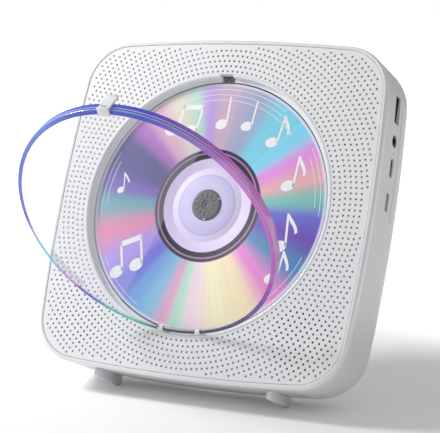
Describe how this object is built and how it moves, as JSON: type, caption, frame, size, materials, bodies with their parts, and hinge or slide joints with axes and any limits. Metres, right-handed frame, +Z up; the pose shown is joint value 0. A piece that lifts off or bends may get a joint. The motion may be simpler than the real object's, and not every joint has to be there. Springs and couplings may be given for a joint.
{
  "type": "disc player",
  "caption": "Rounded square portable disc player that leans on two ribs and a fold-out leg, with a perforated front, a disc well under a clear hinged cap, and side ports.",
  "frame": {"origin": "centre of the bounding box on the table plane, with the cap open", "axes": "+Z up from the table, +X to the right seen from the front, -Y out of the front"},
  "size_m": [0.1632, 0.1519, 0.164],
  "materials": {
    "white_shell": "satin white moulding",
    "white_panel": "matt white",
    "white_grille": "matt white, perforated",
    "clear_cap": "clear, faintly iridescent",
    "bright_steel": "bright",
    "black_plastic": "matt black",
    "black_rubber": "soft black",
    "grey_rubber": "soft grey",
    "motor_can": "zinc plated",
    "grey_hub": "moulded grey",
    "disc_face": "mirror coated polycarbonate, rainbow sheen",
    "lens_glass": "coated lens",
    "natural_plastic": "natural acetal",
    "brass_pinion": "turned",
    "black_cone": "pressed cone",
    "green_board": "solder mask",
    "battery_wrap": "shrink wrap",
    "socket_metal": "nickel plated",
    "light_pipe": "milky",
    "grey_keys": "satin light grey"
  },
  "bodies": {
    "case": {"rear_shell": "white_shell", "front_frame": "white_shell", "baffle": "white_panel", "speaker_grille": "white_grille", "well_ring": "white_shell", "well_tray": "white_panel", "latch_catch": "white_shell", "lid_hinge_pin": "bright_steel", "deck_chassis": "black_plastic", "deck_grommets": "black_rubber", "deck_screws": "bright_steel", "spindle_motor": "motor_can", "guide_rods": "bright_steel", "gear_post": "bright_steel", "sled_motor": "motor_can", "left_speaker_basket": "black_plastic", "left_speaker_cone": "black_cone", "left_speaker_magnet": "motor_can", "right_speaker_basket": "black_plastic", "right_speaker_cone": "black_cone", "right_speaker_magnet": "motor_can", "remote_receiver": "black_plastic", "main_board": "green_board", "board_screws": "bright_steel", "battery_pack": "battery_wrap", "port_board": "green_board", "data_socket": "socket_metal", "headphone_jack": "black_plastic", "charge_inlet": "socket_metal", "status_light": "light_pipe", "switch_body": "black_plastic", "button_board": "green_board", "kickstand_pin": "bright_steel", "left_foot": "white_shell", "right_foot": "white_shell", "case_screws": "bright_steel"},
    "lid": {"lid": "clear_cap", "lid_latch": "white_shell"},
    "turntable": {"spindle_shaft": "bright_steel", "turntable_hub": "grey_hub", "hub_balls": "bright_steel", "turntable_mat": "black_rubber"},
    "disc": {"disc": "disc_face"},
    "pickup": {"pickup_sled": "black_plastic", "lens_holder": "black_plastic", "pickup_lens": "lens_glass", "sled_rack": "natural_plastic"},
    "feed_gear": {"feed_gear": "natural_plastic"},
    "motor_pinion": {"motor_pinion": "brass_pinion"},
    "switch_knob": {"switch_knob": "grey_keys"},
    "stand": {"kickstand": "white_shell", "kickstand_pad": "grey_rubber"},
    "button_back": {"button_back": "grey_keys"},
    "button_play": {"button_play": "grey_keys"},
    "button_next": {"button_next": "grey_keys"},
    "button_softer": {"button_softer": "grey_keys"},
    "button_louder": {"button_louder": "grey_keys"}
  },
  "joints": [
    {"name": "lid_hinge", "type": "hinge", "parent": "case", "child": "lid", "pos_m": [-0.0023, -0.01083, 0.03407], "axis": [1, 0, 0], "range_deg": [-53, 35]},
    {"name": "disc_spin", "type": "hinge", "parent": "case", "child": "turntable", "pos_m": [-0.0023, 0.01727, 0.08784], "axis": [0, -0.9259, 0.3778], "continuous": true},
    {"name": "disc_lift", "type": "slide", "parent": "turntable", "child": "disc", "axis": [0, -0.9259, 0.3778], "range_m": [0, 0.0028]},
    {"name": "pickup_travel", "type": "slide", "parent": "case", "child": "pickup", "axis": [1, 0, 0], "range_m": [0, 0.035]},
    {"name": "feed_gear_turn", "type": "hinge", "parent": "case", "child": "feed_gear", "pos_m": [0.0317, 0.03719, 0.10412], "axis": [0, -0.9259, 0.3778], "range_deg": [0, 358.1]},
    {"name": "motor_pinion_turn", "type": "hinge", "parent": "case", "child": "motor_pinion", "pos_m": [0.04018, 0.04318, 0.11084], "axis": [0, -0.9259, 0.3778], "range_deg": [-1074.3, 0]},
    {"name": "power_slide", "type": "slide", "parent": "case", "child": "switch_knob", "axis": [0, 0.3778, 0.9259], "range_m": [0, 0.004]},
    {"name": "stand_hinge", "type": "hinge", "parent": "case", "child": "stand", "pos_m": [0, 0.04819, 0.08052], "axis": [1, 0, 0], "range_deg": [-33.2, 0]},
    {"name": "button_back_press", "type": "slide", "parent": "case", "child": "button_back", "axis": [0, 0.3778, 0.9259], "range_m": [-0.0006, 0], "stiffness_N_per_m": 400},
    {"name": "button_play_press", "type": "slide", "parent": "case", "child": "button_play", "axis": [0, 0.3778, 0.9259], "range_m": [-0.0006, 0], "stiffness_N_per_m": 400},
    {"name": "button_next_press", "type": "slide", "parent": "case", "child": "button_next", "axis": [0, 0.3778, 0.9259], "range_m": [-0.0006, 0], "stiffness_N_per_m": 400},
    {"name": "button_softer_press", "type": "slide", "parent": "case", "child": "button_softer", "axis": [0, 0.3778, 0.9259], "range_m": [-0.0006, 0], "stiffness_N_per_m": 400},
    {"name": "button_louder_press", "type": "slide", "parent": "case", "child": "button_louder", "axis": [0, 0.3778, 0.9259], "range_m": [-0.0006, 0], "stiffness_N_per_m": 400}
  ],
  "couplings": [
    {"joint": "feed_gear_turn", "follows": "pickup_travel", "rad_per_m": 178.57},
    {"joint": "motor_pinion_turn", "follows": "pickup_travel", "rad_per_m": -535.71}
  ]
}
